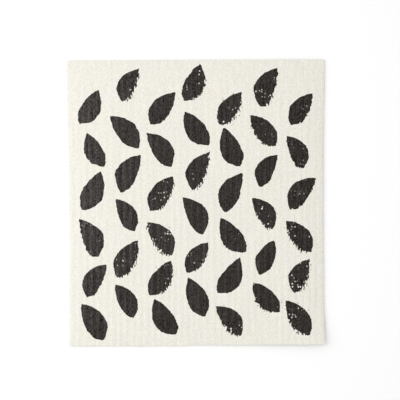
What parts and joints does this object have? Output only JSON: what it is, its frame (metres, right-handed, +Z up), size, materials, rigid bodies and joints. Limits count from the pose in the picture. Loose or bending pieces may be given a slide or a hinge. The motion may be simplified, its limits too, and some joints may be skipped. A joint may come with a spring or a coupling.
{
  "type": "cleaning cloth",
  "caption": "Thin dry cellulose dishcloth with fine ribs and a block print, lying flat with one corner curled up, for wiping and drying.",
  "frame": {"origin": "under the middle of the cloth, on the surface it lies on", "axes": "+X to the right across the ribs, +Y along the ribs towards the back edge, +Z up out of the printed face"},
  "size_m": [0.1808, 0.2, 0.0047],
  "materials": {
    "printed_cellulose": "matt, finely ribbed, off-white with charcoal print"
  },
  "bodies": {
    "root": {"cleaning_cloth": "printed_cellulose"}
  },
  "joints": []
}
